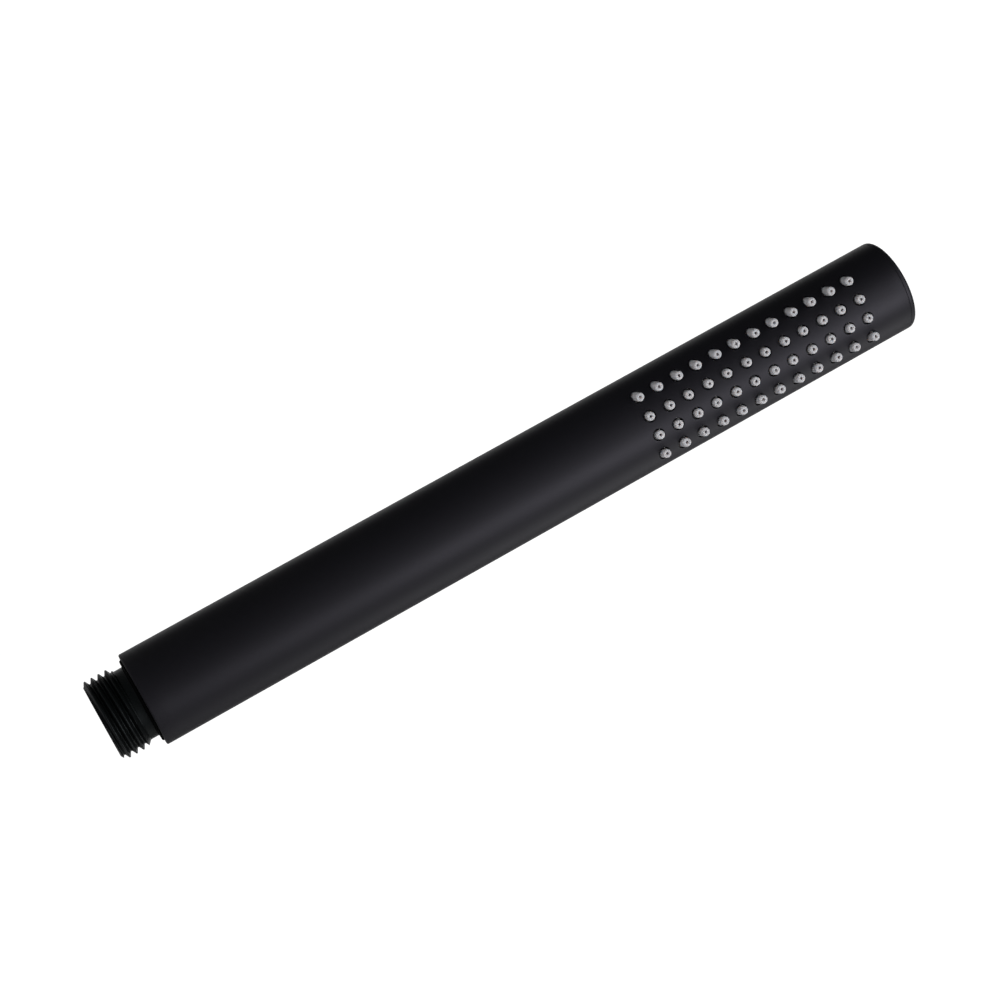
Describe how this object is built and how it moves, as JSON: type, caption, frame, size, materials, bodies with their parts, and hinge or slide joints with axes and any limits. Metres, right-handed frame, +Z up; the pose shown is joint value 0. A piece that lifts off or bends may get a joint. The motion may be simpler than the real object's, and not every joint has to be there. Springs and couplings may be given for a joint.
{
  "type": "handheld shower head",
  "caption": "Straight round stick hand shower: metal tube with rows of silicone nozzles in its side, a threaded hose inlet and a sprung non-return valve inside.",
  "frame": {"origin": "centre of the inlet face, where the hose's washer seats", "axes": "+Z up the tube from the hose thread to the closed end, -Y the way the nozzles spray, +X across the rows"},
  "size_m": [0.024, 0.0249, 0.2228],
  "materials": {
    "black_metal": "fine satin matt black coating",
    "silicone": "light grey moulded silicone",
    "white_plastic": "natural moulded acetal",
    "grey_plastic": "grey moulded plastic",
    "blue_plastic": "blue moulded plastic",
    "seal_rubber": "black nitrile rubber",
    "stainless_steel": "bright stainless wire and sheet"
  },
  "bodies": {
    "handset": {"outer_tube": "black_metal", "end_cap": "black_metal", "end_cap_o_ring": "seal_rubber", "nozzle_mat": "silicone", "nozzle_guide": "white_plastic", "spray_core": "white_plastic", "spray_core_o_ring": "seal_rubber", "pipe_upper_o_ring": "seal_rubber", "water_pipe": "white_plastic", "pipe_upper_spacer": "grey_plastic", "pipe_lower_spacer": "grey_plastic", "pipe_lower_o_ring": "seal_rubber", "inlet_connector": "black_metal", "connector_o_ring": "seal_rubber", "cartridge_ring": "stainless_steel", "strainer_frame": "grey_plastic", "strainer_screen": "stainless_steel", "flow_regulator_body": "blue_plastic", "flow_regulator_ring": "seal_rubber", "valve_body": "white_plastic", "valve_o_ring": "seal_rubber", "valve_spring": "stainless_steel", "valve_guide": "grey_plastic"},
    "poppet": {"valve_poppet": "blue_plastic", "valve_seal": "seal_rubber"}
  },
  "joints": [
    {"name": "poppet_slide", "type": "slide", "parent": "handset", "child": "poppet", "axis": [0, 0, 1], "range_m": [0, 0.0025], "stiffness_N_per_m": 50, "springref_m": -0.003, "deforming": ["valve_spring"]}
  ]
}
